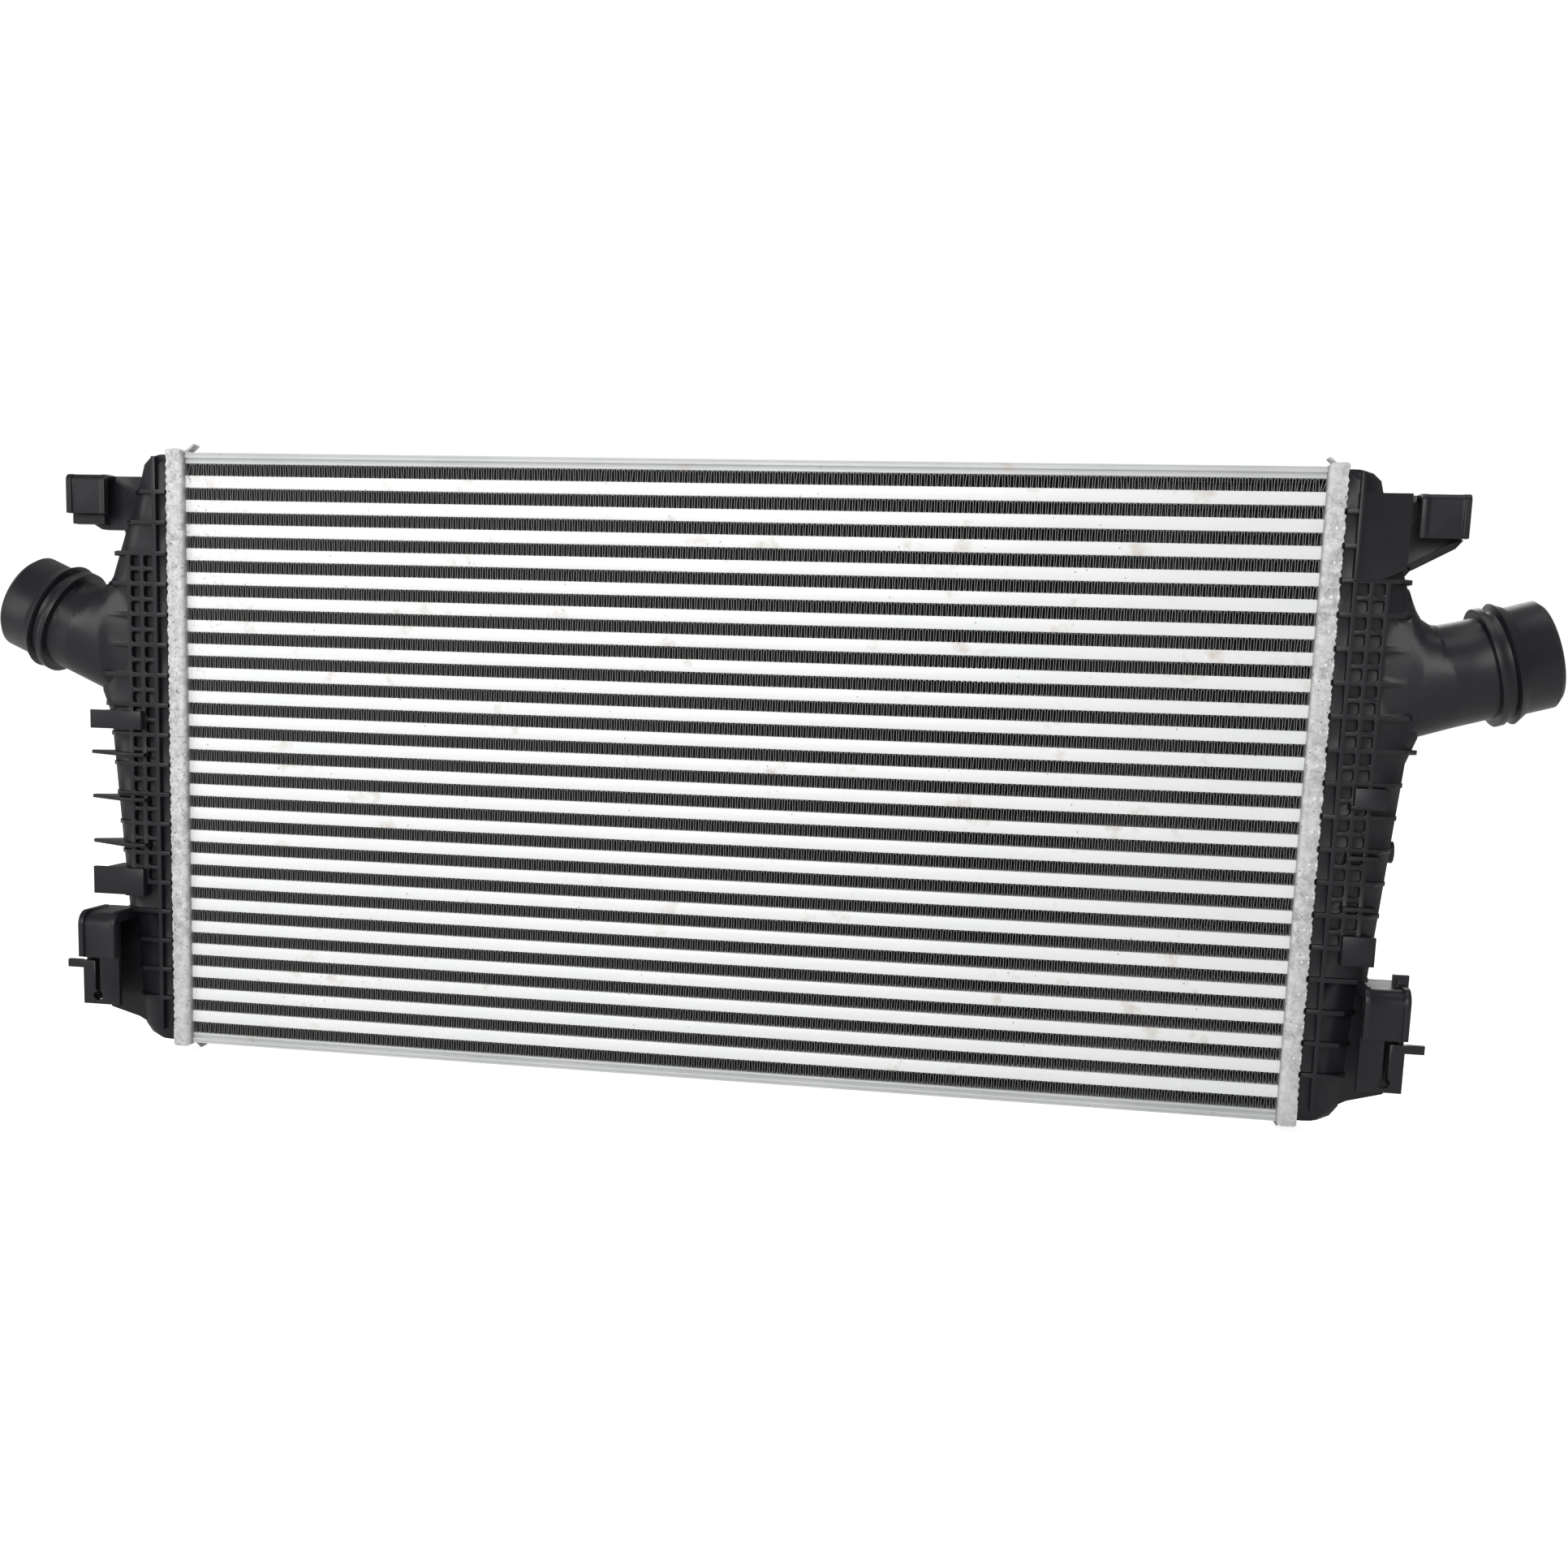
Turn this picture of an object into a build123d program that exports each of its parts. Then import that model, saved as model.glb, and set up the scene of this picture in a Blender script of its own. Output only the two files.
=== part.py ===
from build123d import *
import os
from dataclasses import dataclass
from math import cos, radians, sin

# Bar-and-tube intercooler with crimped plastic tanks, in millimetres.
# X runs across the vehicle, +Z is up and the face that meets the fresh air looks along -Y.

# Core
core_length = 622.0  # between the two header plates
tube_count = 24
tube_pitch = 13.5
tube_height = 6.9
tube_depth = 28.0
tube_wall = 0.5
tube_stand = 2.0  # tube end past the header plate
braze_gap = 0.05

# Folded air fins and the folded inserts inside the tubes
fin_stock = 0.6
fin_legs = 4  # each leg stands for a run of the real, much finer folds
fin_inset = 0.5  # fin edge behind the tube nose
fin_end_gap = 1.0
insert_stock = 0.4
insert_legs = 2
insert_end_gap = 6.0

# Side plates, folded channels that close the core above and below
plate_stock = 1.2
plate_rise = 6.0
plate_step = 0.8  # outward step of the upper half of each flange

# Header plates with their crimped rim
header_sheet = 1.2
header_width = 10.2
header_lip = 4.0  # rim in front of the tubes
header_margin = 1.7  # header past the side plates
header_bend = 2.6
rim_bend = 1.6
crimp_reach = 1.4
stop_tab_width = 7.0
stop_tab_length = 8.5
stop_tab_lean = 50.0
stop_tab_back = 6.0  # behind the middle plane

# Tank foot and gasket in the header gutter
seat_gap = 0.2
foot_height = 3.6
foot_inner_gap = 0.2  # foot opening past the tube nose

# Tank shell
tank_wall = 2.5
wall_back_off = 1.6  # shell wall behind the edge of the foot
shell_corner = 15.0
shell_turn = 50.0  # degrees that the flank turns before it meets the outer face
corner_facets = 2
corner_limit = 0.9  # largest corner as a share of the reach
dome_drop = 12.7  # height of the rounded top of the tank
dome_reach = 19.5
dome_curve = ((0.0, 0.38), (0.12, 0.68), (0.4, 0.9), (1.0, 1.0))  # shares of drop and reach
shoulder_drop = 73.0  # where the tapering top meets the neck
shoulder_reach = 39.0
neck_zone_reach = 46.0
waist_drop = 40.0  # below the neck axis
waist_reach = 41.0
taper_end_reach = 31.5
step_rise = 77.0  # where the shell steps in above the lower hook
step_reach = 27.3
step_slant = 0.5
toe_rise = 16.0
toe_reach = 23.5
toe_curve = ((1.0, 1.0), (0.5, 0.95), (0.16, 0.78), (0.0, 0.5))

# Ribs outside the tank
rib_count = 18
rib_thickness = 2.4
rib_front = 1.0  # rib crest in front of the header rim
rib_rise_outer = 0.4  # rib height on the outer face of the shell
rib_bevel = 7.0  # slanted corner of each rib plate
bevel_slope = 1.2
long_rib_rise = 2.5  # of the ribs that stand out at the neck fillets
first_rib_drop = 22.7
last_rib_rise = 27.3
strip_width = 5.9  # bay next to the crimp
cell_width = 5.8
bar_thickness = 2.2
bar_top_drop = 3.0
waffle_first = 2  # rib that opens the waffle field
waffle_last = 13
waffle_bars = 2

# Hose necks
neck_root_reach = 40.0
neck_root_height = 62.0  # above the middle of the core
neck_radius = 26.5
neck_wall = 2.5
mouth_radius = 28.0
mouth_length = 23.0
mouth_chamfer = 2.6
flange_radius = 31.75
flange_edge = 1.0  # slanted back of the flange
flange_ramp = 6.2
bead_radius = 31.0
bead_width = 4.0
bead_offset = 7.0
mould_draft = 0.3  # slant of the sides of the bead
fillet_run = 18.0  # where the fillet has become the round neck
duct_ovals = ((-10.0, 42.0, 30.0, 12.4), (1.0, 34.0, 26.5, 20.1))

# Upper hook
hook_inner = 35.0
hook_outer = 58.4
hook_top = 158.0
hook_bottom = 136.0
hook_front = 21.5  # in front of the middle plane
hook_plate = 3.0
hook_gap = 8.5  # open slot between tongue and web
hook_round = 4.0
hook_rib_width = 3.0
hook_rib_rise = 1.3
ledge_height = 6.5
ledge_inner = 39.0
web_back = 3.0  # back face of the web in front of the middle plane
web_inner = 5.6
web_foot = 26.0
web_neck = 30.0
web_corner = 44.0
web_step = 8.0  # step of the square web below the hook
brace_upper = (54.6, 131.5)  # ends of the slanted edge of the boxed web: reach and height
brace_lower = (34.6, 120.4)
brace_width = 2.5
brace_rise = 4.0
panel_gap = 4.0  # panel edge inside the hook
panel_foot = 17.5
panel_rise = 0.8
panel_sink = 2.0

# Lower hook and snap arm
latch_inner = 25.0
latch_outer = 47.4
latch_top = -93.0
latch_front = 38.0
latch_round = 8.0
latch_shelf = -118.5  # foot of the ribbed tongue
latch_block_front = 34.5
latch_bottom = -147.0
latch_wall = 2.5  # outer side wall
latch_roof = 5.0
arm_slot_width = 3.0
arm_slot_reach = 37.0  # inner edge of the upright slot
arm_slot_top = -119.6
arm_cut = 1.8
arm_hole_radius = 2.9
arm_hole_height = -141.8
lug_reach = 57.0
lug_height = 4.6
lug_top = -121.2
keel = ((44.0, -153.7), (26.0, -158.7))  # slanted lower edge of the web: reach and height
keel_inner = 17.0
stub_inner = 41.4
stub_outer = 49.4
stub_rise = 6.0

# Clips on the flank of the tanks
clip_front = 24.0
clip_plate = 3.0
clip_inner = 14.5
clip_arm = 26.0
clip_outer = 47.5
short_clip = 31.0
gusset_thickness = 2.0
gusset_inner = 13.0
gusset_outer = 30.0
gusset_nose = ((54.0, -9.0), (54.0, -6.0), (38.0, 4.0), (24.0, 4.0))
gusset_heights = (-0.8, -27.0, -53.6)
knob_radius = 5.9
knob_reach = 40.3
knob_length = 12.0
knob_height = -25.0

# Values that follow
fin_height = tube_pitch - tube_height
stack_half = (tube_count - 1) / 2 * tube_pitch + tube_height / 2 + fin_height
plate_half = stack_half + plate_rise
header_half = plate_half + header_margin
header_front = tube_depth / 2 + header_lip
gutter_front = header_front - header_sheet
foot_front = gutter_front - seat_gap
foot_half = header_half - header_sheet - seat_gap
foot_top = -header_sheet - 0.1
foot_bottom = foot_top - foot_height
foot_opening = tube_depth / 2 + foot_inner_gap
foot_rail = foot_front - foot_opening
shell_front = foot_front - wall_back_off
shell_half = foot_half - wall_back_off
cavity_front = shell_front - tank_wall
crest = header_front + rib_front
edge_offset = core_length / 2 + header_width
tube_levels = [(i - (tube_count - 1) / 2) * tube_pitch for i in range(tube_count)]
fin_levels = [(i - tube_count / 2) * tube_pitch for i in range(tube_count + 1)]
first_rib = foot_half - first_rib_drop
last_rib = -foot_half + last_rib_rise
rib_pitch = (first_rib - last_rib) / (rib_count - 1)
rib_levels = [first_rib - i * rib_pitch for i in range(rib_count)]


@dataclass
class Side:
    """What differs between the two tanks."""

    neck_tilt: float
    neck_run: float  # neck root to flange
    boxed_web: bool
    long_clips: bool
    clip_spans: tuple
    long_ribs: tuple
    ovals: tuple  # upright ovals of the neck fillet, from the neck root: reach, rise, drop, half depth


left_side = Side(
    neck_tilt=23.4,
    neck_run=39.3,
    boxed_web=False,
    long_clips=True,
    clip_spans=((24.4, 13.8), (-67.4, -83.4)),
    long_ribs=(2,),
    ovals=((-16.0, 46.0, 34.0, 15.0), (-3.5, 46.0, 32.0, 20.0), (1.0, 37.5, 29.0, 22.5)),
)
right_side = Side(
    neck_tilt=15.9,
    neck_run=46.8,
    boxed_web=True,
    long_clips=False,
    clip_spans=((9.2, -1.6), (-68.0, -83.4)),
    long_ribs=(2, 7),
    ovals=((-16.0, 50.0, 34.0, 15.0), (-3.5, 50.0, 32.0, 20.0), (3.0, 38.5, 27.5, 23.5)),
)


def block(x0, x1, y0, y1, z0, z1):
    """A box between two corners."""
    size = Box(x1 - x0, y1 - y0, abs(z1 - z0))
    return Pos((x0 + x1) / 2, (y0 + y1) / 2, (z0 + z1) / 2) * size


def zigzag(width, height, stock, legs):
    """The edge of a folded strip."""
    swing = (height - stock) / 2
    middle = [(width * (i / legs - 0.5), swing if i % 2 else -swing) for i in range(legs + 1)]
    upper = [(x, y + stock / 2) for x, y in middle]
    lower = [(x, y - stock / 2) for x, y in reversed(middle)]
    return make_face(Polyline(*upper, *lower, close=True))


# Core pieces

def tube_outline(grow=0.0):
    """Section of a flat tube, or of the slot that it passes."""
    return Rectangle(tube_depth + 2 * grow, tube_height + 2 * grow)


def along_core(section, length):
    """Extrudes a section lying in the YZ plane, centred on the core."""
    return extrude(Plane.YZ.offset(-length / 2) * section, amount=length)


def tube():
    length = core_length + 2 * (header_sheet + tube_stand)
    return along_core(tube_outline() - tube_outline(-tube_wall), length)


def tube_insert():
    width = tube_depth - 2 * (tube_wall + braze_gap)
    height = tube_height - 2 * tube_wall
    return along_core(zigzag(width, height, insert_stock, insert_legs), core_length - 2 * insert_end_gap)


def fin():
    strip = zigzag(core_length - 2 * fin_end_gap, fin_height, fin_stock, fin_legs)
    return extrude(Plane.XZ * strip, amount=tube_depth / 2 - fin_inset, both=True)


def side_plate():
    """Channel with both flanges up and a step halfway up each flange."""
    web_half = tube_depth / 2
    rim_half = web_half + plate_step
    waist = plate_rise / 2
    right = [
        (web_half, 0),
        (web_half, waist),
        (rim_half, waist),
        (rim_half, plate_rise),
        (rim_half - plate_stock, plate_rise),
        (rim_half - plate_stock, waist + plate_stock),
        (web_half - plate_stock, waist + plate_stock),
        (web_half - plate_stock, plate_stock),
    ]
    left = [(-y, z) for y, z in reversed(right)]
    return along_core(make_face(Polyline(*right, *left, close=True)), core_length)


# Headers and gaskets, built with x = 0 at the crimped edge and x growing outward

def ring(x0, x1, front, half, rail):
    """A rectangular frame in the YZ plane."""
    hole = block(x0, x1, rail - front, front - rail, rail - half, half - rail)
    return block(x0, x1, -front, front, -half, half) - hole


def stop_tab():
    """Bent strip that stands on the end of the header and leans over the core."""
    strip = block(-header_sheet, 0, -stop_tab_width / 2, stop_tab_width / 2, -header_sheet, stop_tab_length)
    return Pos(0, stop_tab_back, header_half) * Rot(0, -stop_tab_lean, 0) * strip


def header():
    shell = block(-header_width, 0, -header_front, header_front, -header_half, header_half)
    core_side = shell.faces().sort_by(Axis.X)[0]
    shell = fillet(core_side.edges(), header_bend)
    rim_ends = shell.faces().sort_by(Axis.X)[-1].edges().filter_by(Axis.Y)
    shell = fillet(rim_ends, rim_bend)
    inner_half = header_half - header_sheet
    shell -= block(header_sheet - header_width, 1, -gutter_front, gutter_front, -inner_half, inner_half)
    shell += ring(-header_sheet, 0, gutter_front + 0.1, inner_half + 0.1, crimp_reach + 0.1)
    slot = extrude(Plane.YZ.offset(-header_width - 1) * tube_outline(braze_gap), amount=header_width)
    for z in tube_levels:
        shell -= Pos(0, 0, z) * slot
    shell += stop_tab()
    shell += mirror(stop_tab(), Plane.XY)
    return shell


def gasket():
    floor = header_sheet - header_width
    return ring(floor, foot_bottom, foot_front, foot_half, foot_rail)


# Tanks, built in the same way as the headers

def shell_profile():
    """Height and outward reach of the shell crest, from the top of the tank down."""
    dome = [(shell_half - dome_drop * drop, dome_reach * share) for drop, share in dome_curve]
    toe = [(toe_rise * rise - shell_half, toe_reach * share) for rise, share in toe_curve]
    flank = [
        (foot_half - shoulder_drop, shoulder_reach),
        (neck_root_height + neck_radius, neck_zone_reach),
        (neck_root_height - neck_radius, neck_zone_reach),
        (neck_root_height - waist_drop, waist_reach),
        (step_rise - foot_half + step_slant, taper_end_reach),
        (step_rise - foot_half, step_reach),
    ]
    return dome + flank + toe


def reach_at(height):
    """Outward reach of the rib crests at a height."""
    points = shell_profile()
    for (z0, x0), (z1, x1) in zip(points, points[1:]):
        if z1 <= height <= z0:
            return x1 + (x0 - x1) * (height - z1) / (z0 - z1)
    return dome_reach


def mirrored_face(half):
    """A face from its front half outline and the same turned to the back."""
    return make_face(Polyline(*half, *[(x, -y) for x, y in reversed(half)], close=True))


def nose_face(reach):
    """Section across a tank: two flat flanks that turn in facets to a flat outer face."""
    r = min(shell_corner, reach * corner_limit)
    turns = [radians(shell_turn * i / corner_facets) for i in range(corner_facets + 1)]
    bow = [(reach + r * (sin(a) - sin(turns[-1])), shell_front - r * (1 - cos(a))) for a in turns]
    return mirrored_face([(foot_top, shell_front)] + bow)


def shell_body():
    sections = [Pos(0, 0, z) * nose_face(reach - rib_rise_outer) for z, reach in shell_profile()]
    return loft(sections, ruled=True)


def cavity():
    """The air space of the tank, with plain chamfered corners."""
    cut = shell_corner / 2
    inset = rib_rise_outer + tank_wall
    sections = []
    for z, reach in shell_profile()[len(dome_curve) - 1 : 1 - len(toe_curve)]:
        shift = -tank_wall if z > 0 else 0
        far = reach - inset
        half = [(foot_bottom - 1, cavity_front), (far - cut, cavity_front), (far, cavity_front - cut)]
        sections.append(Pos(0, 0, z + shift) * mirrored_face(half))
    return loft(sections, ruled=True)


def rib(height, rise):
    """A level plate round the shell with slanted corners."""
    reach = reach_at(height) + rise
    half = [(seat_gap, crest), (reach - rib_bevel, crest), (reach, crest - rib_bevel * bevel_slope)]
    return extrude(Pos(0, 0, height - rib_thickness / 2) * mirrored_face(half), amount=rib_thickness)


def ribs(side):
    return [rib(z, long_rib_rise if i in side.long_ribs else 0) for i, z in enumerate(rib_levels)]


def waffle():
    """Upright bars between the ribs, one beside the crimp all round and more on the front flank."""
    toe = toe_rise / 2 - foot_half
    bars = block(strip_width, strip_width + bar_thickness, -crest, crest, toe, foot_half - bar_top_drop)
    for i in range(1, waffle_bars + 1):
        x = strip_width + i * (cell_width + bar_thickness)
        bars += block(x, x + bar_thickness, -crest, 0, rib_levels[waffle_last], rib_levels[waffle_first])
    return bars


def foot():
    solid = block(foot_bottom, foot_top, -foot_front, foot_front, -foot_half, foot_half)
    return solid - block(
        foot_bottom, foot_top, -foot_opening, foot_opening, foot_rail - foot_half, foot_half - foot_rail
    )


# Hose necks

def neck_plane(side, along):
    """A plane square to the neck axis, some way along it from the root."""
    tilt = radians(side.neck_tilt)
    axis = Vector(cos(tilt), 0, sin(tilt))
    origin = Vector(neck_root_reach, 0, neck_root_height) + axis * along
    return Plane(origin=origin, x_dir=(-sin(tilt), 0, cos(tilt)), z_dir=axis)


def upright_oval(reach, rise, drop, half_depth):
    """An upright oval placed from the neck root."""
    middle_height = neck_root_height + (rise - drop) / 2
    place = Plane(origin=(neck_root_reach + reach, 0, middle_height), x_dir=(0, 0, 1), z_dir=(1, 0, 0))
    return place * Ellipse((rise + drop) / 2, half_depth)


def flare(side, ovals, radius):
    """Blend from the flank of the tank to the round neck."""
    sections = [upright_oval(*oval) for oval in ovals]
    return loft(sections + [neck_plane(side, fillet_run) * Circle(radius)], ruled=True)


def neck_turning(side):
    """Neck, bead, flange and hose seat as one turned form."""
    flange = side.neck_run
    bead = flange - bead_offset
    end = flange + mouth_length
    outline = Polyline(
        (0, fillet_run),
        (neck_radius, fillet_run),
        (neck_radius, bead - bead_width / 2),
        (bead_radius, bead - bead_width / 2 + mould_draft),
        (bead_radius, bead + bead_width / 2 - mould_draft),
        (mouth_radius, bead + bead_width / 2),
        (mouth_radius, flange - flange_edge),
        (flange_radius, flange),
        (mouth_radius, flange + flange_ramp),
        (mouth_radius, end - mouth_chamfer),
        (mouth_radius - mouth_chamfer, end),
        (0, end),
        close=True,
    )
    form = revolve(Plane.XZ * make_face(outline), Axis.Z)
    return neck_plane(side, 0).location * form


def neck(side):
    return flare(side, side.ovals, neck_radius) + neck_turning(side)


def duct(side):
    radius = neck_radius - neck_wall
    bore = Cylinder(radius, side.neck_run + mouth_length, align=(Align.CENTER, Align.CENTER, Align.MIN))
    return flare(side, duct_ovals, radius) + neck_plane(side, fillet_run).location * bore


# Hooks

def hook_section(front, back, top, bottom, radius):
    """Side view of a hook, rounded where the arch turns down into the tongue."""
    corners = [(-back, bottom), (-back, top), (-front, top), (-front, bottom)]
    face = make_face(Polyline(*corners, close=True))
    return fillet(face.vertices().group_by(Axis.Y)[-1].sort_by(Axis.X)[0], radius)


def across(section, x0, x1):
    """Extrudes a YZ section between two outward reaches."""
    return extrude(Plane.YZ.offset(x0) * section, amount=x1 - x0)


def upper_hook(side):
    tongue_back = hook_front - hook_plate
    gap_back = tongue_back - hook_gap
    outline = hook_section(hook_front, gap_back, hook_top, hook_bottom, hook_round)
    hook = across(outline, hook_inner, hook_outer)
    raised = hook_section(hook_front + hook_rib_rise, tongue_back, hook_top, hook_bottom, hook_round)
    hook += across(raised, hook_inner, hook_inner + hook_rib_width)
    hook += across(raised, hook_outer - hook_rib_width, hook_outer)
    slot = block(hook_inner, hook_outer, -tongue_back, -gap_back, hook_bottom, hook_top - hook_plate)
    hook -= slot
    if not side.boxed_web:
        shelf = hook_bottom + 1
        front = -gap_back - 2 * hook_plate
        hook += block(ledge_inner, hook_outer, front, -gap_back, shelf - ledge_height, shelf)
    return hook


def plate(points, y0, y1):
    """A flat plate in the XZ plane between two depths."""
    face = make_face(Polyline(*points, close=True))
    return extrude(Plane.XZ.offset(-y1) * face, amount=y1 - y0)


def upper_web(side):
    """Upright plate behind the hook, square on one side and boxed on the other."""
    web_front = hook_front - hook_plate - hook_gap
    low = rib_levels[waffle_first]
    top = [(web_inner, hook_top), (hook_outer, hook_top)]
    if not side.boxed_web:
        step = hook_bottom - web_step
        square = [(hook_outer, hook_bottom), (web_corner, step), (web_neck, step)]
        return plate(top + square + [(web_foot, low), (web_inner, low)], -web_front, -web_back)
    edge = [(hook_outer, hook_bottom), brace_upper, brace_lower]
    inner_edge = [(x - brace_width, z + brace_width) for x, z in reversed(edge[1:])]
    web = plate(top + edge + [(web_neck, low), (web_inner, low)], -web_front, -web_back)
    web += plate(edge + inner_edge, -web_front - brace_rise, -web_back)
    far = hook_inner - panel_gap
    panel = [(web_inner, hook_top), (far, hook_top), (far, brace_lower[1]), (panel_foot, low)]
    web += plate(panel + [(web_inner, low)], -crest - panel_rise, panel_sink - shell_front)
    bar_far = web_inner + bar_thickness
    bar = [(web_inner, hook_top), (bar_far, hook_top), (bar_far, low), (web_inner, low)]
    return web + plate(bar, -crest - 2 * panel_rise, -shell_front)


def arm_slot():
    """Slot that frees the snap arm: a level cut, an upright cut and the round end."""
    front = -latch_front - 1
    back = hook_plate + 1 - latch_block_front
    far = arm_slot_reach + arm_slot_width
    slot = block(arm_slot_reach, far, front, back, arm_hole_height, arm_slot_top)
    slot += block(arm_slot_reach, latch_outer + 1, front, back, arm_slot_top - arm_cut, arm_slot_top)
    end = Pos((arm_slot_reach + far) / 2, -latch_block_front, arm_hole_height)
    return slot + end * Rot(90, 0, 0) * Cylinder(arm_hole_radius, 4 * hook_plate)


def lower_hook(side):
    """Ribbed tongue over a hollow block that carries the snap arm, open inward and below."""
    web_front = hook_front - hook_plate - hook_gap
    tongue = hook_section(latch_front, web_front, latch_top, latch_shelf, latch_round)
    hook = across(tongue, latch_inner, latch_outer)
    raised_front = latch_front + hook_rib_rise
    raised = hook_section(raised_front, web_front, latch_top + hook_rib_rise, latch_shelf, latch_round)
    hook += across(raised, latch_inner, latch_inner + hook_rib_width)
    hook += across(raised, latch_outer - hook_rib_width, latch_outer)
    hook += block(latch_inner, latch_outer, -latch_block_front, -web_front, latch_bottom, latch_shelf)
    back = hook_plate - latch_block_front
    roof = latch_top - latch_roof
    hook -= block(latch_inner - 1, latch_outer - latch_wall, back, -web_front, latch_bottom - 1, roof)
    hook += block(latch_outer - 1, lug_reach, -latch_block_front, back, lug_top - lug_height, lug_top)
    if side.boxed_web:
        stub_front = 2 * latch_round - latch_front
        stub_back = stub_front + hook_plate
        hook += block(stub_inner, stub_outer, stub_front, stub_back, latch_top - 1, latch_top + stub_rise)
    return hook - arm_slot()


def lower_web():
    web_front = hook_front - hook_plate - hook_gap
    toe = toe_rise / 2 - foot_half
    outline = [(web_inner, latch_top), (latch_outer, latch_top), (latch_outer, latch_bottom), *keel]
    return plate(outline + [(keel_inner, toe), (web_inner, toe)], -web_front, -web_back)


# Clips on the flank

def long_clip(top, bottom):
    """Bracket that stands on the flank and carries an upright plate."""
    clip = block(clip_inner, clip_arm, -clip_front, 1 - shell_front, bottom, top)
    back = 2 * clip_plate - clip_front
    clip += block(clip_arm - 1, clip_outer, back - clip_plate, back, bottom, top)
    for low in (bottom, top - clip_plate):
        clip += block(clip_arm - 1, knob_reach, back - clip_plate, 0, low, low + clip_plate)
    return clip


def gusset(side, height):
    """Level plate that stiffens the flank beside the clips."""
    wall = shell_front - 1
    outline = [(gusset_inner, -wall), (gusset_inner, -clip_front)]
    if side.long_clips:
        outline += [(clip_arm, -clip_front), *gusset_nose]
    else:
        outline += [(gusset_outer, -clip_front), (gusset_outer, -wall)]
    face = make_face(Polyline(*outline, close=True))
    return extrude(Pos(0, 0, height - gusset_thickness / 2) * face, amount=gusset_thickness)


def clips(side):
    parts = [gusset(side, z) for z in gusset_heights]
    if side.long_clips:
        return parts + [long_clip(top, bottom) for top, bottom in side.clip_spans]
    for top, bottom in side.clip_spans:
        parts.append(block(clip_inner, short_clip, -clip_front, 1 - shell_front, bottom, top))
    knob = Cylinder(knob_radius, knob_length, align=(Align.CENTER, Align.CENTER, Align.MIN))
    return parts + [Pos(knob_reach, 0, knob_height) * Rot(0, -90, 0) * knob]


def tank(side):
    solid = shell_body() + ribs(side)
    solid += waffle()
    solid += foot()
    solid += neck(side)
    solid += upper_web(side)
    solid += upper_hook(side)
    solid += lower_web()
    solid += lower_hook(side)
    for part in clips(side):
        solid += part
    solid -= cavity()
    solid -= duct(side)
    return solid


# Assembly

def right_end(part):
    return Pos(edge_offset, 0, 0) * part


def left_end(part):
    return mirror(right_end(part), Plane.YZ)


def assemble():
    nodes = {}
    one_tube = tube()
    for i, z in enumerate(reversed(tube_levels)):
        nodes[f"tube_{i + 1:02d}"] = Pos(0, 0, z) * one_tube
    one_fin = fin()
    for i, z in enumerate(reversed(fin_levels)):
        nodes[f"fin_{i + 1:02d}"] = Pos(0, 0, z) * one_fin
    one_insert = tube_insert()
    nodes["tube_inserts"] = Compound([Pos(0, 0, z) * one_insert for z in tube_levels])
    top_plate = Pos(0, 0, stack_half) * side_plate()
    nodes["side_plate_top"] = top_plate
    nodes["side_plate_bottom"] = mirror(top_plate, Plane.XY)
    for name, end, side in (("left", left_end, left_side), ("right", right_end, right_side)):
        nodes[f"header_{name}"] = end(header())
        nodes[f"gasket_{name}"] = end(gasket())
        nodes[f"tank_{name}"] = end(tank(side))
    return nodes


def middle(shapes):
    """Centre of the box round all the pieces."""
    boxes = [shape.bounding_box() for shape in shapes]
    low = [min(getattr(box.min, axis) for box in boxes) for axis in "XYZ"]
    high = [max(getattr(box.max, axis) for box in boxes) for axis in "XYZ"]
    return [(a + b) / 2 for a, b in zip(low, high)]


nodes = assemble()
to_origin = Pos(*[-c for c in middle(nodes.values())])
os.makedirs("parts", exist_ok=True)
for name, shape in nodes.items():
    export_step(to_origin * shape, f"parts/{name}.step")
print("core centre at", to_origin.position)
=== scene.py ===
from math import cos, pi, radians

import bmesh
import bpy
from mathutils import Matrix, Vector


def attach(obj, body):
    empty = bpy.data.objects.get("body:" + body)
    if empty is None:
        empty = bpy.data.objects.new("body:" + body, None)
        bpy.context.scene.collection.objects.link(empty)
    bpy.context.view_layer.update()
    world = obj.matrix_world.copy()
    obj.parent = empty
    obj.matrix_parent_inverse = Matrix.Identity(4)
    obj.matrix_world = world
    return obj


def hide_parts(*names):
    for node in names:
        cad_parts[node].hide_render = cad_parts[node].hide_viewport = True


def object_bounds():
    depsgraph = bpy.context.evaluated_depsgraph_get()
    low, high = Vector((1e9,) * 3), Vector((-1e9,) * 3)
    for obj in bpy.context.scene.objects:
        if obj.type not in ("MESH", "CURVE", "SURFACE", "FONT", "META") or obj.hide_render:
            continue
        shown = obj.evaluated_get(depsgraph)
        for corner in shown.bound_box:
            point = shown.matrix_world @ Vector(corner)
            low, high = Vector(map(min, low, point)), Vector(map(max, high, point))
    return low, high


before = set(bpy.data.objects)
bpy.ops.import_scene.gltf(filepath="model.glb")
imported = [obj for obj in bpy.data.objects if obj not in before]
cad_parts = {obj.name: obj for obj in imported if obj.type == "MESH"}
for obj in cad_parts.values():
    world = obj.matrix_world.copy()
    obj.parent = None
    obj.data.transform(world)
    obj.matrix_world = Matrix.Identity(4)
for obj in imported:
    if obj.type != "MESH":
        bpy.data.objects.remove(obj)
cad_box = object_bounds()


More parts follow.
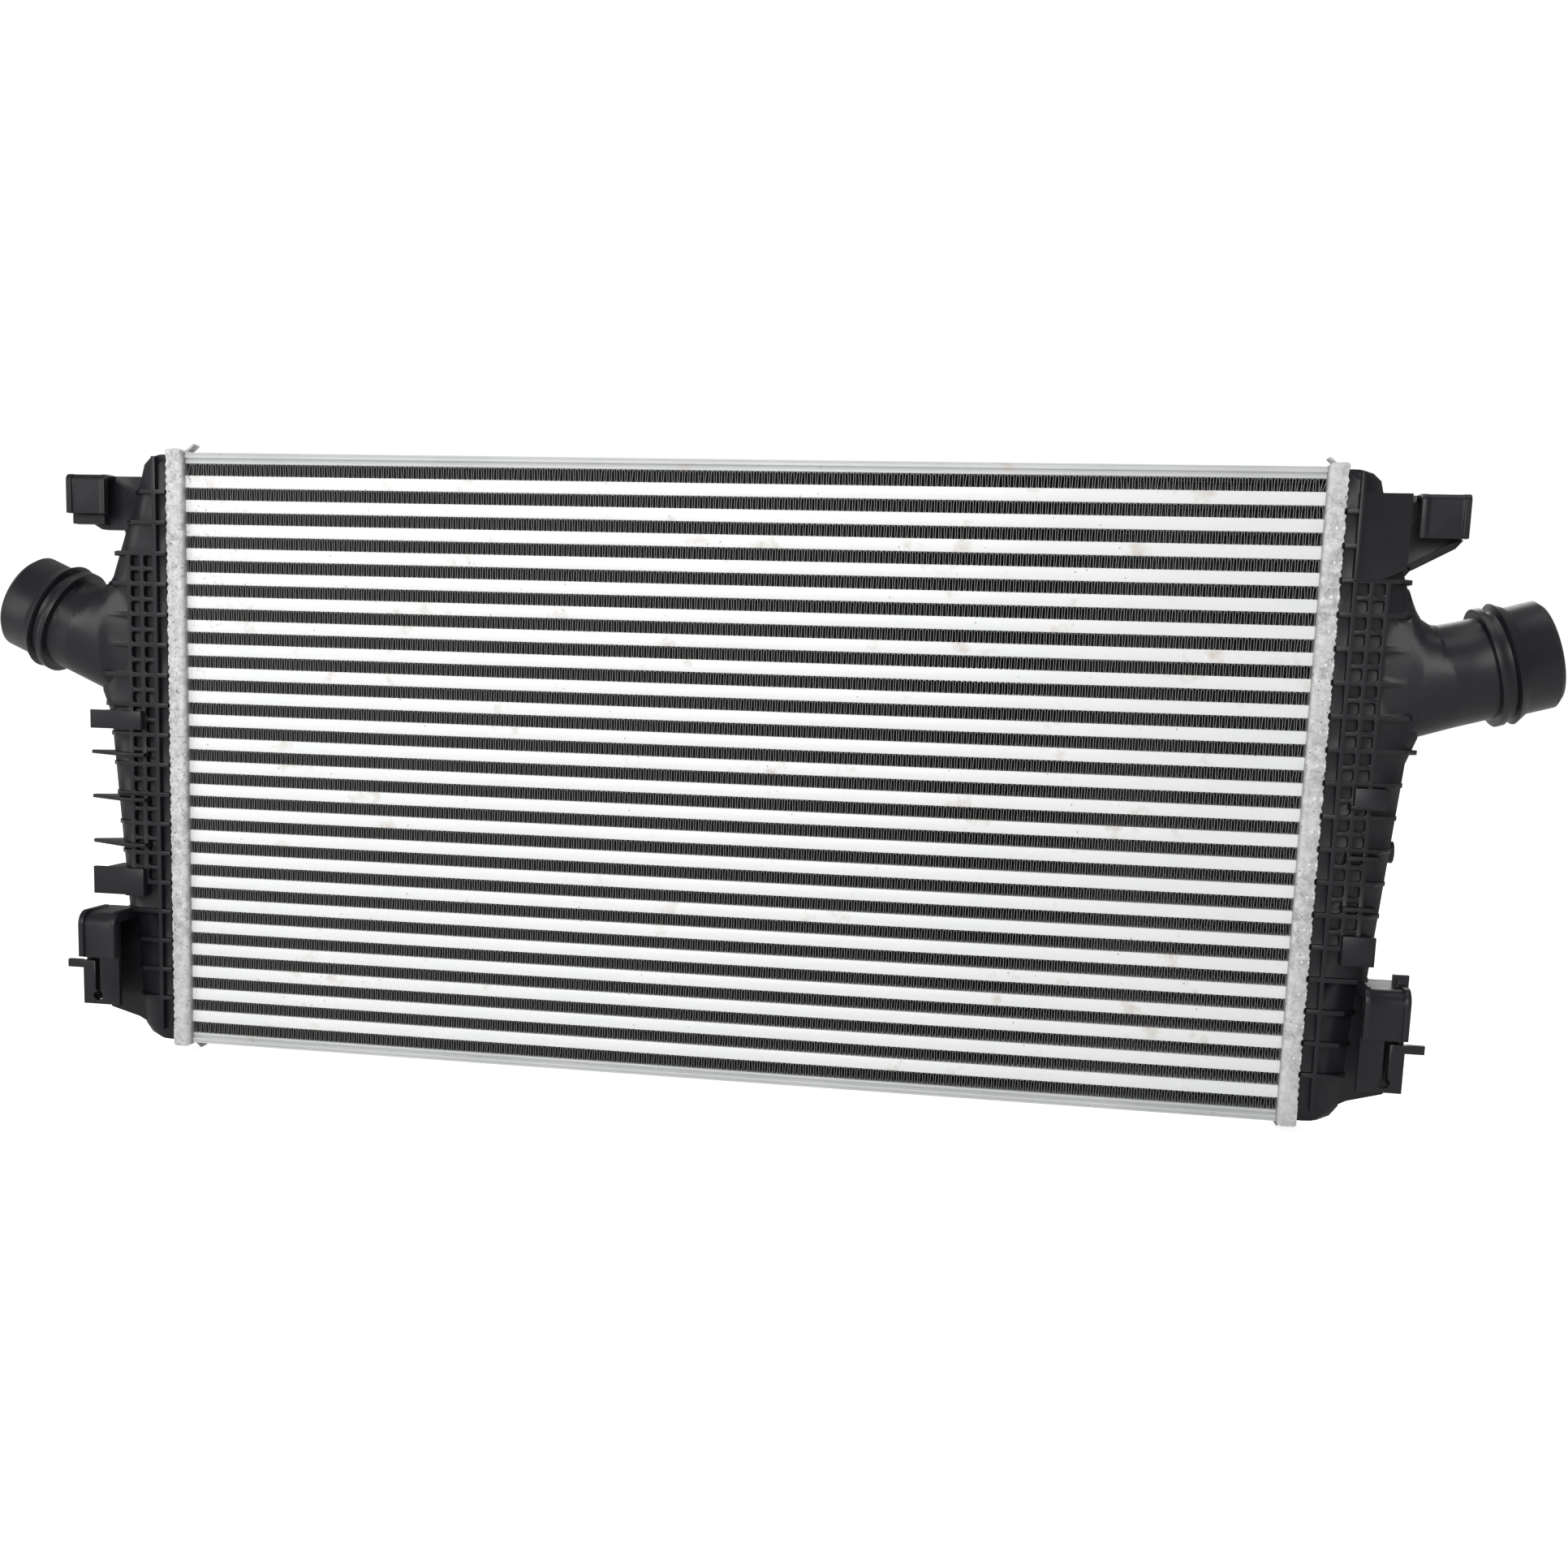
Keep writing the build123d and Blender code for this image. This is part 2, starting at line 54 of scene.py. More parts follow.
# Studio: the cooler stands in front of a white sweep and is lit by large soft boxes.
# The camera stands a little to the right and above the middle, as in the photograph.
mm = 0.001
photo_width = 1932
focal_px = 2000.0
aim_px = (900, 1100)  # the photograph's pixel straight ahead of the camera, across and down
sensor = 36.0
right = Vector((0.98636257, 0.16145163, 0.03197271))  # the camera's own directions
ahead = Vector((-0.15561387, 0.97808741, -0.13830888))
above = Vector((-0.0536023, 0.1314473, 0.98987292))
stand = Vector((0.14794, -0.89471, 0.06127))  # where the camera stands
room_light = 0.3  # strength of the white room on the cooler itself
floor_half = 9.0
floor_gap = 0.5  # between the cooler and the floor
paper_glow = 0.75  # keeps the paper near white where the camera sees it

camera = bpy.data.objects.new("camera", bpy.data.cameras.new("camera"))
bpy.context.scene.collection.objects.link(camera)
camera.data.sensor_width = sensor
camera.data.lens = focal_px / photo_width * sensor
camera.data.shift_x = (photo_width / 2 - aim_px[0]) / photo_width
camera.data.shift_y = (aim_px[1] - photo_width / 2) / photo_width
camera.matrix_world = Matrix((
    (right.x, above.x, -ahead.x, stand.x),
    (right.y, above.y, -ahead.y, stand.y),
    (right.z, above.z, -ahead.z, stand.z),
    (0, 0, 0, 1)))
bpy.context.scene.camera = camera
bpy.context.scene.view_settings.view_transform = "Standard"


def colour(code):
    """A hex sRGB colour as linear red, green, blue and alpha."""
    values = [int(code[i:i + 2], 16) / 255 for i in (1, 3, 5)]
    return [v / 12.92 if v <= 0.04045 else ((v + 0.055) / 1.055) ** 2.4 for v in values] + [1.0]


def add(tree, kind, settings=None, **links):
    """Adds one node. Settings are its properties, and links its inputs by name, or by number as _0, _1.
    A link is another node's output, a node that stands for its own first output, or a plain value."""
    node = tree.nodes.new(kind)
    for key, value in (settings or {}).items():
        setattr(node, key, value)
    for key, value in links.items():
        socket = node.inputs[int(key[1:])] if key[1:].isdigit() else node.inputs[key.replace("_", " ")]
        if isinstance(value, bpy.types.Node):
            value = value.outputs[0]
        if isinstance(value, bpy.types.NodeSocket):
            tree.links.new(value, socket)
        else:
            socket.default_value = value
    return node


# What a Math node works out.
times, plus, minus, over = [{"operation": word} for word in ("MULTIPLY", "ADD", "SUBTRACT", "DIVIDE")]
larger, unsigned = [{"operation": word} for word in ("MAXIMUM", "ABSOLUTE")]


def new_material(name):
    """An empty node material, its tree and its output node."""
    material = bpy.data.materials.new(name)
    material.use_nodes = True
    material.node_tree.nodes.clear()
    return material, material.node_tree, material.node_tree.nodes.new("ShaderNodeOutputMaterial")


world = bpy.data.worlds.new("white room")
bpy.context.scene.world = world
world.use_nodes = True
sky = world.node_tree
sky.nodes.clear()
seen = add(sky, "ShaderNodeLightPath")
direct = add(sky, "ShaderNodeMath", larger,
             _0=seen.outputs["Is Camera Ray"], _1=seen.outputs["Is Transmission Ray"])
room = add(sky, "ShaderNodeBackground", Color=colour("#ffffff"), Strength=room_light)
paper = add(sky, "ShaderNodeBackground", Color=colour("#ffffff"), Strength=1.0)
blend = add(sky, "ShaderNodeMixShader", _0=direct, _1=room, _2=paper)
sky.links.new(blend.outputs[0], sky.nodes.new("ShaderNodeOutputWorld").inputs["Surface"])


def soft_box(name, place, width, height, watts):
    """A rectangular soft light that faces the middle of the cooler."""
    data = bpy.data.lights.new(name, "AREA")
    data.shape = "RECTANGLE"
    data.size = width
    data.size_y = height
    data.energy = watts
    lamp = bpy.data.objects.new(name, data)
    bpy.context.scene.collection.objects.link(lamp)
    lamp.location = place
    lamp.rotation_euler = (-Vector(place)).to_track_quat("-Z", "Y").to_euler()


soft_box("front_box", place=(-0.4, -2.6, 1.0), width=2.0, height=1.4, watts=41)
soft_box("left_box", place=(-1.9, -1.1, 0.2), width=0.9, height=1.4, watts=9)
soft_box("top_box", place=(0.1, 0.1, 1.6), width=1.6, height=1.0, watts=8)
soft_box("back_box", place=(0.3, 2.6, 1.2), width=2.0, height=1.4, watts=22)

floor_mesh = bpy.data.meshes.new("floor")
corners = [(x * floor_half, y * floor_half, 0) for x, y in ((-1, -1), (1, -1), (1, 1), (-1, 1))]
floor_mesh.from_pydata(corners, [], [(0, 1, 2, 3)])
floor = bpy.data.objects.new("floor", floor_mesh)
bpy.context.scene.collection.objects.link(floor)
floor_mesh.transform(Matrix.Translation((0, 0, cad_box[0][2] - floor_gap * mm)))

# White paper: matt, so that it takes a soft shadow and mirrors nothing.
white_paper, tree, output = new_material("white_paper_sweep")
seen = add(tree, "ShaderNodeLightPath")
direct = add(tree, "ShaderNodeMath", larger,
             _0=seen.outputs["Is Camera Ray"], _1=seen.outputs["Is Transmission Ray"])
lift = add(tree, "ShaderNodeMath", times, _0=direct, _1=paper_glow)
glow = add(tree, "ShaderNodeEmission", Color=colour("#ffffff"), Strength=lift)
matte = add(tree, "ShaderNodeBsdfDiffuse", Color=colour("#f2f2f2"))
both = add(tree, "ShaderNodeAddShader", _0=glow, _1=matte)
tree.links.new(both.outputs[0], output.inputs["Surface"])
floor_mesh.materials.append(white_paper)


# Tubes: 24 flat extruded aluminium tubes of 3003 alloy, brazed in a furnace to the fins and headers.
# The inserts inside them are folded strips of the same metal, seen only through the necks.
tube_count = 24
core_shift = Vector((-3.41222, 3.775, 0.0)) * mm  # middle of the core from the middle of the whole cooler
patina_patch = 60  # pale and dull patches
flux_stain = 22
speck_gap = 9
grime_crumb = 3
die_line_gap = 0.8  # coarser than the real lines, so that they show
grime_x = (-315, -270)  # the grime covers the left end of the core and fades out here
grime_z = (20, 80)  # and comes in here on the way up
weld_reach = 0.002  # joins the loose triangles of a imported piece
soft_angle = 40  # edges that turn by less are shaded as one surface


def brazed(name, dull, pale):
    """Brazed aluminium: its dull oxide makes the metal look pale and satin, with no mirror shine.
    Baked flux leaves faint brown stains and dark specks, and handling leaves grime at the upper left end."""
    material, tree, output = new_material(name)
    spot = add(tree, "ShaderNodeTexCoord").outputs["Object"]
    drawn = add(tree, "ShaderNodeMapping", Vector=spot, Scale=(0.03, 1, 1))
    die_lines = add(tree, "ShaderNodeTexNoise", Vector=drawn, Scale=1 / (die_line_gap * mm), Detail=2.0)
    flux = add(tree, "ShaderNodeTexNoise", Vector=spot, Scale=1 / (flux_stain * mm),
               Detail=4.0, Roughness=0.6)
    stain = add(tree, "ShaderNodeMapRange", Value=flux, _1=0.62, _2=0.78, _3=0.0, _4=0.7)
    patina = add(tree, "ShaderNodeTexNoise", Vector=spot, Scale=1 / (patina_patch * mm), Detail=3.0)
    base = add(tree, "ShaderNodeMix", {"data_type": "RGBA"}, _0=patina, _6=colour(dull), _7=colour(pale))
    brown = add(tree, "ShaderNodeMix", {"data_type": "RGBA"}, _0=stain, _6=base.outputs[2],
                _7=colour("#c9b7a4"))
    specks = add(tree, "ShaderNodeTexVoronoi", Vector=spot, Scale=1 / (speck_gap * mm))
    speck = add(tree, "ShaderNodeMapRange", Value=specks.outputs["Distance"],
                _1=0.035, _2=0.06, _3=0.7, _4=0.0)
    dotted = add(tree, "ShaderNodeMix", {"data_type": "RGBA"}, _0=speck, _6=brown.outputs[2],
                 _7=colour("#6a655f"))
    place = add(tree, "ShaderNodeSeparateXYZ", Vector=spot)
    left_end = add(tree, "ShaderNodeMapRange", Value=place.outputs["X"],
                   _1=grime_x[0] * mm, _2=grime_x[1] * mm, _3=1.0, _4=0.0)
    upper_half = add(tree, "ShaderNodeMapRange", Value=place.outputs["Z"],
                     _1=grime_z[0] * mm, _2=grime_z[1] * mm, _3=0.0, _4=1.0)
    grime = add(tree, "ShaderNodeTexNoise", Vector=spot, Scale=1 / (grime_crumb * mm),
                Detail=5.0, Roughness=0.75)
    grimy = add(tree, "ShaderNodeMapRange", Value=grime, _1=0.58, _2=0.66, _3=0.0, _4=0.8)
    grimy = add(tree, "ShaderNodeMath", times, _0=grimy, _1=left_end)
    grimy = add(tree, "ShaderNodeMath", times, _0=grimy, _1=upper_half)
    dirty = add(tree, "ShaderNodeMix", {"data_type": "RGBA"}, _0=grimy, _6=dotted.outputs[2],
                _7=colour("#7d736a"))
    rough = add(tree, "ShaderNodeMapRange", Value=flux, _1=0.3, _2=0.8, _3=0.38, _4=0.6)
    grain = add(tree, "ShaderNodeBump", Height=die_lines, Strength=0.12, Distance=0.1 * mm)
    skin = add(tree, "ShaderNodeBsdfPrincipled", Base_Color=dirty.outputs[2], Metallic=0.1,
               Roughness=rough, Normal=grain)
    tree.links.new(skin.outputs[0], output.inputs["Surface"])
    return material


def rounded(piece, width, angle):
    """Rounds the edges of a piece that turn by more than an angle, and leaves it a plain mesh."""
    rounding = piece.modifiers.new("rounding", "BEVEL")
    rounding.width = width * mm
    rounding.segments = 2
    rounding.limit_method = "ANGLE"
    rounding.angle_limit = radians(angle)
    rounding.miter_outer = "MITER_ARC"
    bpy.context.view_layer.update()
    ready = piece.evaluated_get(bpy.context.evaluated_depsgraph_get())
    piece.data = bpy.data.meshes.new_from_object(ready)
    piece.modifiers.clear()
    piece.data.name = piece.name


def softened(name, node, width, angle):
    """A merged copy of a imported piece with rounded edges, which takes the piece's place."""
    mesh = bpy.data.objects[node].data.copy()
    shape = bmesh.new()
    shape.from_mesh(mesh)
    bmesh.ops.remove_doubles(shape, verts=shape.verts, dist=weld_reach * mm)
    shape.to_mesh(mesh)
    shape.free()
    piece = bpy.data.objects.new(name, mesh)
    bpy.context.scene.collection.objects.link(piece)
    rounded(piece, width, angle)
    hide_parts(node)
    return piece


def finish(piece, material):
    """Gives a piece its material, soft shading over gentle edges and its place in the product."""
    piece.data.materials.clear()
    piece.data.materials.append(material)
    for face in piece.data.polygons:
        face.use_smooth = True
    piece.data.set_sharp_from_angle(angle=radians(soft_angle))
    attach(piece, "root")


tube_metal = brazed("brazed_aluminium_tube", "#eff1f1", "#f8f8f7")
for number in range(1, tube_count + 1):
    piece = softened(f"drawn_tube_{number:02d}", f"tube_{number:02d}", width=0.8, angle=60)
    finish(piece, tube_metal)
inserts = bpy.data.objects["tube_inserts"].data
inserts.materials.clear()
inserts.materials.append(tube_metal)


# Fin rows: thin aluminium strip, folded back and forth about 430 times between two tubes.
# The folds are brazed to the tubes at their rounded crests, and some are bent by handling.
row_count = tube_count + 1
row_pitch = 13.5
leg_pitch = 1.45
leg_count = 429
leg_steps = 3  # columns of faces from one leg to the next
leg_upright = 0.42  # part of a step by which the legs' feet are drawn together, so that they stand upright
crest_power = 0.2  # 1 folds the strip in a soft wave, and near 0 in square turns
fin_height = 6.6
fin_depth = 27.0
fin_sheet = 0.3  # drawn thicker than the real strip so that it shows
fin_kink = 1.6  # sideways swing of the louvred legs halfway through the core
inner_bend = 0.35
outer_bend = 1.0  # the top and bottom rows are bent more
torn_end = 0.025  # part of the row at each end where the legs lean more
torn_lean = 5.0  # up to this many times as far
lean_run = 0.11  # how quickly the lean changes from leg to leg
lean_gap = 7.31  # keeps the leans of two rows apart
edge_highlight_reach = (0.5, 0.02)  # how far inside the row's front and back its painted highlight begins, and is full
dust_patch = 14
merge_reach = 0.001

# Thin rolled strip: satin grey metal, painted dark all over as the shade between the legs, in two dark tones
# from dust patches, and painted lighter along its front and back edges as a highlight.
fin_metal, tree, output = new_material("folded_aluminium_fin")
spot = add(tree, "ShaderNodeTexCoord").outputs["Object"]
dust = add(tree, "ShaderNodeTexNoise", Vector=spot, Scale=1 / (dust_patch * mm), Detail=3.0)
# painted shade: the whole strip is dark, in two tones from dust patches
shade_and_dust = add(tree, "ShaderNodeMix", {"data_type": "RGBA"}, _0=dust, _6=colour("#5b5856"), _7=colour("#6f6c69"))
place = add(tree, "ShaderNodeSeparateXYZ", Vector=spot)
depth = add(tree, "ShaderNodeMath", minus, _0=place.outputs["Y"], _1=core_shift.y)
depth = add(tree, "ShaderNodeMath", unsigned, _0=depth)
# painted highlight: the row's front and back edges are painted lighter
cut = add(tree, "ShaderNodeMapRange", Value=depth,
          _1=(fin_depth / 2 - edge_highlight_reach[0]) * mm, _2=(fin_depth / 2 - edge_highlight_reach[1]) * mm)
tone = add(tree, "ShaderNodeMix", {"data_type": "RGBA"}, _0=cut, _6=shade_and_dust.outputs[2], _7=colour("#868989"))
skin = add(tree, "ShaderNodeBsdfPrincipled", Base_Color=tone.outputs[2], Metallic=0.4, Roughness=0.5)
tree.links.new(skin.outputs[0], output.inputs["Surface"])


def tree_with(name, inputs):
    """A geometry tree with one result and named inputs, and the sockets where those come in."""
    tree = bpy.data.node_groups.new(name, "GeometryNodeTree")
    tree.interface.new_socket("Geometry", in_out="OUTPUT", socket_type="NodeSocketGeometry")
    for label, kind in inputs.items():
        tree.interface.new_socket(label, in_out="INPUT", socket_type="NodeSocket" + kind)
    return tree, tree.nodes.new("NodeGroupInput").outputs


def ended(tree, shape, material):
    """Ends a tree: its instances become one real mesh in one material."""
    solid = add(tree, "GeometryNodeRealizeInstances", Geometry=shape)
    painted = add(tree, "GeometryNodeSetMaterial", Geometry=solid, Material=material)
    tree.links.new(painted.outputs[0], tree.nodes.new("NodeGroupOutput").inputs[0])


def grown(name, tree, values, where):
    """Runs a geometry tree with values for its named inputs, and returns the mesh, moved into place."""
    carrier = bpy.data.objects.new(name + "_carrier", bpy.data.meshes.new(name + "_carrier"))
    bpy.context.scene.collection.objects.link(carrier)
    modifier = carrier.modifiers.new("nodes", "NODES")
    modifier.node_group = tree
    identifiers = {item.name: item.identifier for item in tree.interface.items_tree}
    for label, value in values.items():
        modifier[identifiers[label]] = value
    bpy.context.view_layer.update()
    ready = carrier.evaluated_get(bpy.context.evaluated_depsgraph_get())
    mesh = bpy.data.meshes.new_from_object(ready)
    mesh.name = name
    mesh.transform(Matrix.Translation(where))
    carrier.modifiers.remove(modifier)
    bpy.data.objects.remove(carrier)
    piece = bpy.data.objects.new(name, mesh)
    bpy.context.scene.collection.objects.link(piece)
    return piece


fold, given = tree_with("folded fin row", {
    "Leg pitch": "Float", "Legs": "Int", "Height": "Float", "Depth": "Float", "Sheet": "Float",
    "Kink": "Float", "Bend": "Float", "Seed": "Int", "Metal": "Material"})

# The strip starts as a flat grid, and every column of it is lifted or lowered to its crest.
steps = add(fold, "ShaderNodeMath", times, _0=given["Legs"], _1=leg_steps)
step = add(fold, "ShaderNodeMath", over, _0=given["Leg pitch"], _1=leg_steps)
length = add(fold, "ShaderNodeMath", times, _0=steps, _1=step)
columns = add(fold, "ShaderNodeMath", plus, _0=steps, _1=1.0)
strip = add(fold, "GeometryNodeMeshGrid", Size_X=length, Size_Y=given["Depth"],
            Vertices_X=columns, Vertices_Y=3)
flat = add(fold, "ShaderNodeSeparateXYZ", Vector=add(fold, "GeometryNodeInputPosition"))
half_length = add(fold, "ShaderNodeMath", times, _0=length, _1=0.5)
from_end = add(fold, "ShaderNodeMath", plus, _0=flat.outputs["X"], _1=half_length)
tick = add(fold, "ShaderNodeMath", over, _0=from_end, _1=step)
tick = add(fold, "ShaderNodeMath", {"operation": "ROUND"}, _0=tick)
turn = add(fold, "ShaderNodeMath", times, _0=tick, _1=pi / leg_steps)
wave = add(fold, "ShaderNodeMath", {"operation": "COSINE"}, _0=turn)
square = add(fold, "ShaderNodeMath", unsigned, _0=wave)
square = add(fold, "ShaderNodeMath", {"operation": "POWER"}, _0=square, _1=crest_power)
side = add(fold, "ShaderNodeMath", {"operation": "SIGN"}, _0=wave)
swing = add(fold, "ShaderNodeMath", times, _0=square, _1=side)
rise = add(fold, "ShaderNodeMath", minus, _0=given["Height"], _1=given["Sheet"])
rise = add(fold, "ShaderNodeMath", times, _0=rise, _1=0.5)
under = add(fold, "ShaderNodeMath", times, _0=given["Sheet"], _1=-0.5)
level = add(fold, "ShaderNodeMath", {"operation": "MULTIPLY_ADD"}, _0=swing, _1=rise, _2=under)

# The legs lean by chance, a little in the row and more at its ends.
chance_x = add(fold, "ShaderNodeMath", times, _0=tick, _1=lean_run)
chance_y = add(fold, "ShaderNodeMath", times, _0=given["Seed"], _1=lean_gap)
chance = add(fold, "ShaderNodeCombineXYZ", X=chance_x, Y=chance_y)
jitter = add(fold, "ShaderNodeTexNoise", {"noise_dimensions": "2D"}, Vector=chance, Scale=1.0, Detail=2.0)
lean = add(fold, "ShaderNodeMath", minus, _0=jitter, _1=0.5)
off_middle = add(fold, "ShaderNodeMath", over, _0=tick, _1=steps)
off_middle = add(fold, "ShaderNodeMath", minus, _0=off_middle, _1=0.5)
off_middle = add(fold, "ShaderNodeMath", unsigned, _0=off_middle)
near_end = add(fold, "ShaderNodeMapRange", Value=off_middle, _1=0.5 - torn_end, _2=0.5, _3=1.0, _4=torn_lean)
bend = add(fold, "ShaderNodeMath", times, _0=given["Bend"], _1=near_end)
sway = add(fold, "ShaderNodeMath", times, _0=lean, _1=bend)

# Their louvres are a plain kink, widest halfway through the core.
half_depth = add(fold, "ShaderNodeMath", times, _0=given["Depth"], _1=0.5)
off_centre = add(fold, "ShaderNodeMath", unsigned, _0=flat.outputs["Y"])
off_centre = add(fold, "ShaderNodeMath", over, _0=off_centre, _1=half_depth)
inward = add(fold, "ShaderNodeMath", minus, _0=1.0, _1=off_centre)
kink = add(fold, "ShaderNodeMath", times, _0=inward, _1=given["Kink"])
upright = add(fold, "ShaderNodeMath", times, _0=tick, _1=2 * pi / leg_steps)
upright = add(fold, "ShaderNodeMath", {"operation": "SINE"}, _0=upright)
shift = add(fold, "ShaderNodeMath", times, _0=step, _1=leg_upright)
upright = add(fold, "ShaderNodeMath", times, _0=upright, _1=shift)
aside = add(fold, "ShaderNodeMath", plus, _0=kink, _1=upright)
along = add(fold, "ShaderNodeMath", {"operation": "MULTIPLY_ADD"}, _0=sway, _1=swing, _2=flat.outputs["X"])
along = add(fold, "ShaderNodeMath", plus, _0=along, _1=aside)
spot = add(fold, "ShaderNodeCombineXYZ", X=along, Y=flat.outputs["Y"], Z=level)
folded = add(fold, "GeometryNodeSetPosition", Geometry=strip, Position=spot)

# The sheet gets its thickness upwards, and its underside is the first layer turned round.
upper = add(fold, "GeometryNodeExtrudeMesh", Mesh=folded, Offset_Scale=given["Sheet"], Individual=False)
lower = add(fold, "GeometryNodeFlipFaces", Mesh=folded)
both = add(fold, "GeometryNodeJoinGeometry", _0=upper)
fold.links.new(lower.outputs[0], both.inputs[0])
closed = add(fold, "GeometryNodeMergeByDistance", Geometry=both, Distance=merge_reach * mm)
ended(fold, closed, given["Metal"])

for row in range(1, row_count + 1):
    values = {"Leg pitch": leg_pitch * mm, "Legs": leg_count, "Height": fin_height * mm,
              "Depth": fin_depth * mm, "Sheet": fin_sheet * mm, "Kink": fin_kink * mm,
              "Bend": (outer_bend if row in (1, row_count) else inner_bend) * mm, "Seed": row,
              "Metal": fin_metal}
    place = core_shift + Vector((0, 0, ((row_count + 1) / 2 - row) * row_pitch * mm))
    piece = grown(f"folded_row_{row:02d}", fold, values, place)
    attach(piece, "root")
    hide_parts(f"fin_{row:02d}")


# Side plates: folded aluminium channels that close the core above and below.
# They carry the same brazed skin as the tubes, a little duller, and are brazed to the outer fin rows.
stack_half = (tube_count * row_pitch + fin_height) / 2
plate_grooves = ((2.0, 3.0, 0.8), (4.9, 5.3, 0.4))  # lower edge, upper edge and depth, above the fins
groove_slope = 0.1  # height of a groove's sloping side


def sliced(shape, place, across):
    """Cuts the faces of a mesh where a plane crosses them."""
    bmesh.ops.bisect_plane(shape, geom=shape.verts[:] + shape.edges[:] + shape.faces[:],
                           plane_co=place, plane_no=across)


def grooved(piece, sign):
    """Presses the long folding grooves of a side plate into both of its flanges."""
    shape = bmesh.new()
    shape.from_mesh(piece.data)
    for low, high, depth in plate_grooves:
        for level in (low, low + groove_slope, high - groove_slope, high):
            sliced(shape, (0, 0, sign * (stack_half + level) * mm), (0, 0, 1))
        for vert in shape.verts:
            level = sign * vert.co.z / mm - stack_half
            if low + groove_slope / 2 < level < high - groove_slope / 2:
                vert.co.y -= depth * mm if vert.co.y > core_shift.y else -depth * mm
    shape.to_mesh(piece.data)
    shape.free()


plate_metal = brazed("brazed_aluminium_side_plate", "#c3c5c6", "#dcdddc")
for end, sign in (("top", 1), ("bottom", -1)):
    piece = softened(f"folded_side_plate_{end}", f"side_plate_{end}", width=0.35, angle=40)
    grooved(piece, sign)
    finish(piece, plate_metal)


# Headers: pressed aluminium pans that take the tube ends, with a rim crimped over the tank foot.
# The rim is bent over in scallops, with a notch at each rib on the right and punch marks between the ribs.
sides = (("left", -1), ("right", 1))
rib_count = 18
rib_pitch = 17.247
top_rib = 148.9
crease_reach = 310.2  # fold between the flat rim and the pan, from the middle of the core
rim_reach = 321.2  # crimped edge from the middle of the core
rim_face = 17.95  # face of the rim in front of the middle plane
scallops = 4  # bent tabs in each bay between two ribs
scallop_depth = 0.75
notch_depth = 1.15  # only the right rim is notched
notch_half = 1.7
rim_cuts = 16  # cuts across the rim in each bay
edge_strip = 0.5  # what lies this near the crimped edge is drawn back with it
mark_seeds = {"left": 3, "right": 4}
mark_spread = (0.7, 1.15)  # smallest and largest mark
punch_marks = (  # name, distance behind the crimped edge, and half size across, deep and tall
    ("dents", 3.8, (1.25, 0.45, 1.25)),
    ("tabs", 0.6, (0.8, 0.45, 1.7)))
mottle_crumb = 4
cloud_patch = 30
dirt_gap = 4
handling_crumb = 2.2
scuff_gap = 0.8
handled_x = (-200, -100)  # only the left header is grimy
fold_shadow_band = (0.5, 1.4)  # the fold's shadow is full up to here and gone from here on, to each side

# Brazed sheet that was pressed and left raw: matte and mottled like frost, from baked flux, with dark specks
# and a painted shadow along its fold.
header_metal, tree, output = new_material("brazed_aluminium_header")
spot = add(tree, "ShaderNodeTexCoord").outputs["Object"]
mottle = add(tree, "ShaderNodeTexNoise", Vector=spot, Scale=1 / (mottle_crumb * mm),
             Detail=6.0, Roughness=0.75)
cloud = add(tree, "ShaderNodeTexNoise", Vector=spot, Scale=1 / (cloud_patch * mm), Detail=3.0)
crust = add(tree, "ShaderNodeMapRange", Value=mottle, _1=0.36, _2=0.64, _3=0.0, _4=1.0)
base = add(tree, "ShaderNodeMix", {"data_type": "RGBA"}, _0=crust, _6=colour("#a0a1a2"), _7=colour("#e2e2e1"))
pale = add(tree, "ShaderNodeMapRange", Value=cloud, _1=0.4, _2=0.7, _3=0.0, _4=0.6)
clouded = add(tree, "ShaderNodeMix", {"data_type": "RGBA"}, _0=pale, _6=base.outputs[2], _7=colour("#dadada"))
dirt = add(tree, "ShaderNodeTexVoronoi", Vector=spot, Scale=1 / (dirt_gap * mm))
speck = add(tree, "ShaderNodeMapRange", Value=dirt.outputs["Distance"], _1=0.06, _2=0.14, _3=0.85, _4=0.0)
dotted = add(tree, "ShaderNodeMix", {"data_type": "RGBA"}, _0=speck, _6=clouded.outputs[2],
             _7=colour("#4a4643"))
place = add(tree, "ShaderNodeSeparateXYZ", Vector=spot)
out_from_core = add(tree, "ShaderNodeMath", minus, _0=place.outputs["X"], _1=core_shift.x)
out_from_core = add(tree, "ShaderNodeMath", unsigned, _0=out_from_core)
crease_gap = add(tree, "ShaderNodeMath", minus, _0=out_from_core, _1=crease_reach * mm)
crease_gap = add(tree, "ShaderNodeMath", unsigned, _0=crease_gap)
# painted shadow: a dark band along the fold between the flat rim and the pan
fold_shadow = add(tree, "ShaderNodeMapRange", Value=crease_gap,
             _1=fold_shadow_band[0] * mm, _2=fold_shadow_band[1] * mm, _3=0.55, _4=0.0)
fold_shaded = add(tree, "ShaderNodeMix", {"data_type": "RGBA"}, _0=fold_shadow, _6=dotted.outputs[2],
              _7=colour("#77787a"))
left_end = add(tree, "ShaderNodeMapRange", Value=place.outputs["X"],
               _1=handled_x[0] * mm, _2=handled_x[1] * mm, _3=1.0, _4=0.0)
grime = add(tree, "ShaderNodeTexNoise", Vector=spot, Scale=1 / (handling_crumb * mm),
            Detail=4.0, Roughness=0.7)
grimy = add(tree, "ShaderNodeMapRange", Value=grime, _1=0.6, _2=0.68, _3=0.0, _4=0.9)
grimy = add(tree, "ShaderNodeMath", times, _0=grimy, _1=left_end)
dirty = add(tree, "ShaderNodeMix", {"data_type": "RGBA"}, _0=grimy, _6=fold_shaded.outputs[2],
            _7=colour("#5e5650"))
